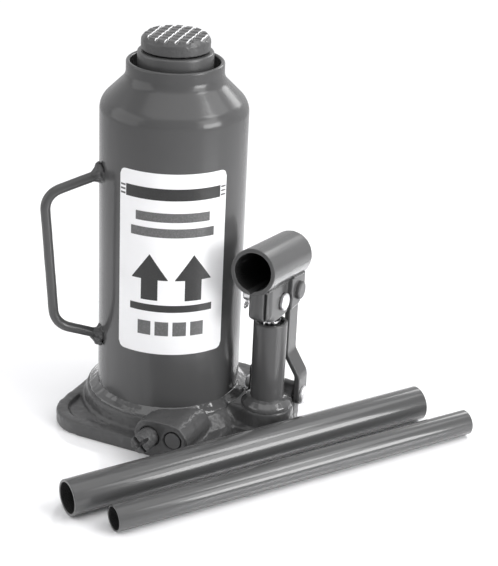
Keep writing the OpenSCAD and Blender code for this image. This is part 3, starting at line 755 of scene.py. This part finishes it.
def build_split_pin(node, body, lean, up=1):
    """A split pin: a ring eye, two half-round legs and their bent ends. up=-1 puts the eye below."""
    middle = centre(node)
    wire = 0.75 * MM
    eye_r = 1.9 * MM
    low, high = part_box(node)
    cross_z = {"plunger_split_pin": "plunger_pin", "link_split_pin": "link_pin", "lower_split_pin": "lower_link_pin"}
    z = centre(cross_z[node]).z
    reach = 5.6 * MM
    ring = []
    for k in range(25):
        turn = math.radians(-70 + 320 * k / 24)
        ring.append((0, eye_r * math.cos(turn), reach + eye_r + eye_r * math.sin(turn)))
    legs = []
    for side in (-1, 1):
        start = (0, side * 0.45 * MM, reach + 0.4 * MM)
        legs.append([start, (0, side * 0.45 * MM, 0), (0, side * 0.5 * MM, -reach),
                     (0, side * 1.4 * MM, -reach - 1.0 * MM), (0, side * 3.1 * MM, -reach - 1.6 * MM)])
    path = [tuple(p) for p in reversed(legs[0])] + [tuple(p) for p in ring[::-1]] + legs[1]
    line = [Vector((middle.x + lean * p[2], middle.y + p[1], z + up * p[2])) for p in path]
    curve = bpy.data.curves.new(node + "_wire", "CURVE")
    curve.dimensions = "3D"
    curve.bevel_depth = wire
    curve.bevel_resolution = 3
    spline = curve.splines.new("NURBS")
    spline.points.add(len(line) - 1)
    for point, where in zip(spline.points, line):
        point.co = (*where, 1)
    spline.use_endpoint_u = True
    spline.order_u = 3
    spline.resolution_u = 4
    bent = bpy.data.objects.new(node + "_bent", curve)
    bpy.context.scene.collection.objects.link(bent)
    bpy.context.view_layer.update()
    graph = bpy.context.evaluated_depsgraph_get()
    mesh = bpy.data.meshes.new_from_object(bent.evaluated_get(graph))
    bpy.data.objects.remove(bent)
    pin = bpy.data.objects.new(node + "_wire", mesh)
    bpy.context.scene.collection.objects.link(pin)
    shade(pin, 60)
    return place(pin, body, "bright_steel", "zinc", node)


NOSE_BOTTOM = ((-22.2, 87.5), (-21.6, 84.9), (-20, 82.9), (-17.5, 81.5), (-9, 79.8), (0, 79.2))


def nose_bottom(y):
    """Height of the cheeks' lower edge at a distance y in front of the pump."""
    for (y0, z0), (y1, z1) in zip(NOSE_BOTTOM, NOSE_BOTTOM[1:]):
        if y <= y1 * MM:
            return (z0 + (z1 - z0) * max(0.0, (y / MM - y0) / (y1 - y0))) * MM
    return NOSE_BOTTOM[-1][1] * MM


def round_nose(socket):
    """Rounds the lower corners of the folded sheet at the front of the cheeks."""
    bend, half = 5.5 * MM, 7.2 * MM
    for point in socket.data.vertices:
        p = point.co
        if p.y > -12 * MM:
            continue
        share = min(1.0, (-12 * MM - p.y) / (5 * MM))
        side = 1 if p.x > PUMP_X else -1
        hub = Vector((PUMP_X + side * (half - bend), p.y, nose_bottom(p.y) + bend))
        away = Vector((p.x - hub.x, 0, p.z - hub.z))
        if away.x * side > 0 and away.z < 0 and away.length > bend:
            point.co = p.lerp(hub + away.normalized() * bend, share)
    socket.data.update()


def build_socket():
    socket = cast("handle_socket", "socket_shell", 0.4 * MM, 3)
    round_nose(socket)
    place(socket, "handle_socket", "enamel", "enamel", "handle_socket")
    # Painted shade: the faces inside the bore take the near-black enamel, for the shade deep in it.
    socket.data.materials.append(finishes["painted_shade"])
    tilt = math.radians(8.5)
    along = Vector((0, math.cos(tilt), -math.sin(tilt)))
    down = Vector((0, -math.sin(tilt), -math.cos(tilt)))
    mouth = Vector((PUMP_X, -29.8 * MM, 117.5 * MM))
    bore_r = 11.3 * MM
    for face in socket.data.polygons:
        rel = face.center - mouth
        off = rel - along * rel.dot(along)
        if 0.4 * MM < rel.dot(along) < 53 * MM and off.length < bore_r + 0.12 * MM and face.normal.dot(off) < 0:
            face.material_index = 1
    outer_r = 13.75 * MM
    for side in (-1, 1):
        for part, half, first, last in (("cheek", 7.3 * MM, 8 * MM, 37 * MM), ("ear", 10.7 * MM, 36 * MM, 52 * MM)):
            drop = math.sqrt(outer_r ** 2 - half ** 2)
            count = round((last - first) / (0.5 * MM))
            line = []
            for i in range(count + 1):
                run = first + (last - first) * i / count
                sway = noise.noise(Vector((run / (3.1 * MM), side * 3.0, half))) * 0.45 * MM
                line.append(mouth + along * run + down * (drop + 0.2 * MM + sway) + Vector((side * half, 0, 0)))
            bead = sweep(f"socket_weld_{part}_{(side + 1) // 2}", line, 1.15 * MM, 14, False,
                         lambda i: 0.85 + 0.22 * abs(math.sin(i * 0.55)) + 0.15 * noise.noise(Vector((i * 0.21, half, side))))
            place(bead, "handle_socket", "enamel", "enamel")


def build_straps():
    for side in ("left", "right"):
        strap = cast(f"link_strap_{side}", f"strap_{side}", 0.4 * MM, 3)
        place(strap, "link", "enamel", "enamel", f"link_strap_{side}")


# ---------------------------------------------------------------- valves and plugs


def build_valves():
    stem = cast("release_valve_stem", "release_stem_cast", 0.35 * MM, 6)
    roughen(stem, 0.3 * MM, 2.6 * MM, 9.0)
    place(stem, "release_stem", "enamel", "rough_enamel", "release_valve_stem")
    low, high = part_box("filler_plug")
    outline = rounded([(0, 0), (4 * MM, 0), (4 * MM, 5 * MM), (6.4 * MM, 5 * MM), (6.2 * MM, 6.6 * MM), (3 * MM, 7.9 * MM),
                       (0, 7.9 * MM)], [0, 0.5 * MM, 0, 0.6 * MM, 0.8 * MM, 1.5 * MM, 0], 5)
    plug = spin("filler_plug_rubber", outline, steps=72)
    lay(plug, (0, high.y - 7.9 * MM, centre("filler_plug").z), (0, 1, 0))
    place(plug, "root", "rubber", "rubber", "filler_plug")


# ---------------------------------------------------------------- loose pipes


def build_pipe(node, start, heading, wall):
    """A cut and deburred pipe lying on the floor."""
    length = 241 * MM
    outer = size(node).z / 2
    inner = outer - wall
    outline = rounded([(outer, 0), (outer, length), (inner, length), (inner, 0)], [0.35 * MM] * 4, 4)
    pipe = spin(node + "_cut", outline, steps=96)
    place_dir = (math.cos(math.radians(heading)), math.sin(math.radians(heading)), 0)
    lay(pipe, (start[0], start[1], outer), place_dir)
    place(pipe, node, "pipe_enamel", "pipe_enamel", node)
    # Painted shade: the faces inside the pipe take the near-black enamel, for the shade inside it.
    pipe.data.materials.append(finishes["painted_shade"])
    axis = Vector(place_dir)
    origin = Vector((start[0], start[1], outer))
    for face in pipe.data.polygons:
        rel = face.center - origin
        off = rel - axis * rel.dot(axis)
        if off.length < inner + 0.05 * MM:
            face.material_index = 1


# ---------------------------------------------------------------- everything together


def saddle_enamel_and_highlight():
    """Enamel with a painted highlight: a bright, partly metallic strip along one edge of each long groove on the top
    face, standing in for light glinting off those edges.
    """
    f = Finish("saddle_enamel_and_highlight")
    turned = f.add("ShaderNodeVectorRotate", rotation_type="Z_AXIS")
    f.feed(turned.inputs["Vector"], f.place)
    turned.inputs["Angle"].default_value = math.radians(-9)
    split = f.add("ShaderNodeSeparateXYZ")
    f.feed(split.inputs[0], turned.outputs[0])
    pitch, half_groove = 6 * MM, 0.7 * MM
    offset = f.times(split.outputs["X"], (0.5 * pitch + half_groove + 0.15 * MM), "ADD")
    within = f.times(f.times(offset, pitch, "FLOORED_MODULO"), 0.5 * pitch, "SUBTRACT")
    near = f.spread(f.times(within, 0.0, "ABSOLUTE"), 0.12 * MM, 0.28 * MM, 1, 0)
    high = f.spread(split.outputs["Z"], 0.239, 0.2392, 0, 1)
    patchy = f.spread(f.noise(0.005, 2), 0.25, 0.4, 0.55, 1)
    # Painted highlight: near one groove edge, on the top face only, in patches.
    painted_highlight = f.times(f.times(near, high), patchy)
    f.set(
        Base_Color=f.mix(painted_highlight, grey(GREY), grey(0.95)),
        Metallic=f.times(painted_highlight, 0.6),
        Roughness=f.spread(painted_highlight, 0, 1, 0.3, 0.45),
        Specular_IOR_Level=0.4,
        Normal=f.bump(f.noise(0.0016, 2), 0.00003, f.bump(f.noise(0.011, 1), 0.0002)),
    )
    return f.material


def ram_finish():
    """Ground steel below the neck, and the overspray of the jack's paint on the part that shows when it is down."""
    f = Finish("ram_finish")
    split = f.add("ShaderNodeSeparateXYZ")
    f.feed(split.inputs[0], f.place)
    edge = f.times(split.outputs["Z"], f.spread(f.noise(0.004, 3), 0.3, 0.7, -0.001, 0.001), "ADD")
    painted = f.spread(edge, 0.2155, 0.2175, 0, 1)
    marks = f.noise(1.0, 3, f.stretched((20, 20, 1500)))
    f.set(
        Base_Color=f.mix(painted, grey(0.5), grey(GREY)),
        Metallic=f.spread(painted, 0, 1, 1, 0),
        Roughness=f.spread(painted, 0, 1, 0.22, 0.27),
        Normal=f.bump(f.times(marks, f.spread(painted, 0, 1, 1, 0)), 0.00001, f.bump(f.noise(0.011, 1), 0.0001)),
    )
    return f.material


finishes["ram_finish"] = ram_finish()
# The saddle's enamel carries a painted highlight along one edge of each groove.
finishes["saddle_enamel_and_highlight"] = saddle_enamel_and_highlight()

CAD_FINISH = {
    "dark_steel": "dark_steel",
    "bright_steel": "zinc",
    "enamel": "enamel",
    "copper": "copper",
    "bronze": "bronze",
    "rubber": "rubber",
    "label_film": "film",
    "pipe_enamel": "pipe_enamel",
}
for part in frame["record"]["subparts"]:
    node = nodes[part["node"]]
    finish_with(node, CAD_FINISH[part["material_slot"]])

build_tank()
build_tank_weld()
build_label()
build_base()
build_pump_weld()
build_carry_handle()
build_ram()
build_screw()
build_saddle()
build_pump_cylinder()
build_pin("plunger_pin", "plunger", "bright_steel", "pin_head")
build_pin("link_pin", "link", "dark_steel", "enamel")
build_pin("lower_link_pin", "root", "bright_steel", "pin_head")
build_split_pin("plunger_split_pin", "plunger", -0.15, -1)
build_split_pin("link_split_pin", "link", 0.1)
build_split_pin("lower_split_pin", "root", 0.1)
build_socket()
build_straps()
build_valves()
build_pipe("handle_pipe_large", (10.5 * MM, -140 * MM), 56.5, 1.6 * MM)
build_pipe("handle_pipe_small", (41 * MM, -142 * MM), 55.7, 1.2 * MM)
for name, width in (("pump_plunger", 0.4), ("safety_screw", 0.5), ("top_nut", 0.4), ("pump_gland", 0.3)):
    soft_edges(nodes[name], width * MM)
finish_with(nodes["pump_plunger"], "chrome")


# ---------------------------------------------------------------- floor, light and camera


def build_floor():
    half = 4.0
    floor = add_mesh("floor", [(-half, -half, 0), (half, -half, 0), (half, half, 0), (-half, half, 0)], [(0, 1, 2, 3)])
    floor.location.z = -0.1 * MM
    f = Finish("floor")
    tree = f.tree
    split = f.add("ShaderNodeVectorMath", operation="LENGTH")
    f.feed(split.inputs[0], f.place)
    far = f.spread(split.outputs["Value"], 0.28, 0.75, 0.0, 1.0)
    matte = f.add("ShaderNodeBsdfDiffuse")
    matte.inputs["Color"].default_value = grey(1.15)
    gloss = f.add("ShaderNodeBsdfGlossy")
    gloss.inputs["Roughness"].default_value = 0.05
    gloss.inputs["Color"].default_value = grey(0.9)
    sheen = f.add("ShaderNodeMixShader")
    sheen.inputs[0].default_value = 0.22
    tree.links.new(matte.outputs[0], sheen.inputs[1])
    tree.links.new(gloss.outputs[0], sheen.inputs[2])
    glow = f.add("ShaderNodeEmission")
    glow.inputs["Color"].default_value = grey(1.0)
    path = f.add("ShaderNodeLightPath")
    f.feed(glow.inputs["Strength"], f.spread(path.outputs["Is Camera Ray"], 0, 1, 0.6, 1.05))
    blend = f.add("ShaderNodeMixShader")
    f.feed(blend.inputs[0], far)
    tree.links.new(sheen.outputs[0], blend.inputs[1])
    tree.links.new(glow.outputs[0], blend.inputs[2])
    tree.links.new(blend.outputs[0], tree.nodes["Material Output"].inputs["Surface"])
    floor.data.materials.append(f.material)


def build_world(fill, behind):
    """White to the camera. To the jack: a grey room, brighter towards its white back wall."""
    world = bpy.data.worlds.new("studio")
    world.use_nodes = True
    tree = world.node_tree
    back = tree.nodes["Background"]
    towards = tree.nodes.new("ShaderNodeTexCoord")
    share = tree.nodes.new("ShaderNodeVectorMath")
    share.operation = "DOT_PRODUCT"
    share.inputs[1].default_value = (-0.37, 0.83, 0.3)
    level = tree.nodes.new("ShaderNodeMapRange")
    level.interpolation_type = "SMOOTHSTEP"
    for socket, number in zip(level.inputs[1:], (0.1, 0.75, fill, behind)):
        socket.default_value = number
    tree.links.new(towards.outputs["Generated"], share.inputs[0])
    tree.links.new(share.outputs["Value"], level.inputs[0])
    tree.links.new(level.outputs[0], back.inputs["Strength"])
    seen = tree.nodes.new("ShaderNodeBackground")
    path = tree.nodes.new("ShaderNodeLightPath")
    mix = tree.nodes.new("ShaderNodeMixShader")
    back.inputs["Color"].default_value = grey(1.0)
    seen.inputs["Color"].default_value = grey(1.0)
    seen.inputs["Strength"].default_value = 1.0
    tree.links.new(path.outputs["Is Camera Ray"], mix.inputs[0])
    tree.links.new(back.outputs[0], mix.inputs[1])
    tree.links.new(seen.outputs[0], mix.inputs[2])
    tree.links.new(mix.outputs[0], tree.nodes["World Output"].inputs["Surface"])
    bpy.context.scene.world = world


AIM = Vector((0.02, -0.02, 0.11))


def softbox(name, azimuth, elevation, distance, width, height, glow):
    """A soft light seen at an azimuth (0 is the -Y side, 90 the +X side) and elevation, glow is its radiance."""
    a, e = math.radians(azimuth), math.radians(elevation)
    away = Vector((math.sin(a) * math.cos(e), -math.cos(a) * math.cos(e), math.sin(e)))
    light = bpy.data.lights.new(name, "AREA")
    light.shape = "RECTANGLE"
    light.size = width
    light.size_y = height
    light.energy = glow * math.pi * width * height
    obj = bpy.data.objects.new(name, light)
    obj.location = AIM + away * distance
    obj.rotation_mode = "QUATERNION"
    obj.rotation_quaternion = away.to_track_quat("Z", "Y")
    obj.visible_camera = False
    bpy.context.scene.collection.objects.link(obj)


def build_camera():
    place_at = Vector((0.410804, -0.806249, 0.494147))
    look_at = Vector((0.0493689, 0.0065054, 0.0925873))
    roll = math.radians(2.58967)
    forward = (look_at - place_at).normalized()
    right = forward.cross(Vector((0, 0, 1))).normalized()
    up = right.cross(forward)
    tilted_right = right * math.cos(roll) + up * math.sin(roll)
    tilted_up = up * math.cos(roll) - right * math.sin(roll)
    camera = bpy.data.cameras.new("camera")
    camera.lens = 103.789
    obj = bpy.data.objects.new("camera", camera)
    obj.matrix_world = Matrix((
        (tilted_right.x, tilted_up.x, -forward.x, place_at.x),
        (tilted_right.y, tilted_up.y, -forward.y, place_at.y),
        (tilted_right.z, tilted_up.z, -forward.z, place_at.z),
        (0, 0, 0, 1),
    ))
    bpy.context.scene.collection.objects.link(obj)
    bpy.context.scene.camera = obj


build_floor()
build_world(0.4, 0.8)
softbox("overhead", 30, 80, 1.2, 1.5, 1.2, 1.0)
softbox("right_low", 86, 11, 1.1, 0.55, 0.36, 11)
softbox("right_high", 86, 31, 1.1, 0.55, 0.36, 3.9)
softbox("left", -55, 20, 1.2, 1.2, 1.0, 1.2)
softbox("right_top", 118, 50, 1.2, 0.8, 0.45, 2.0)
softbox("hot_spot", 104, 50, 1.15, 0.3, 0.26, 6.5)
softbox("rim", 168, 27, 1.3, 0.5, 0.35, 5.0)
build_camera()
bpy.context.scene.view_settings.view_transform = "Standard"
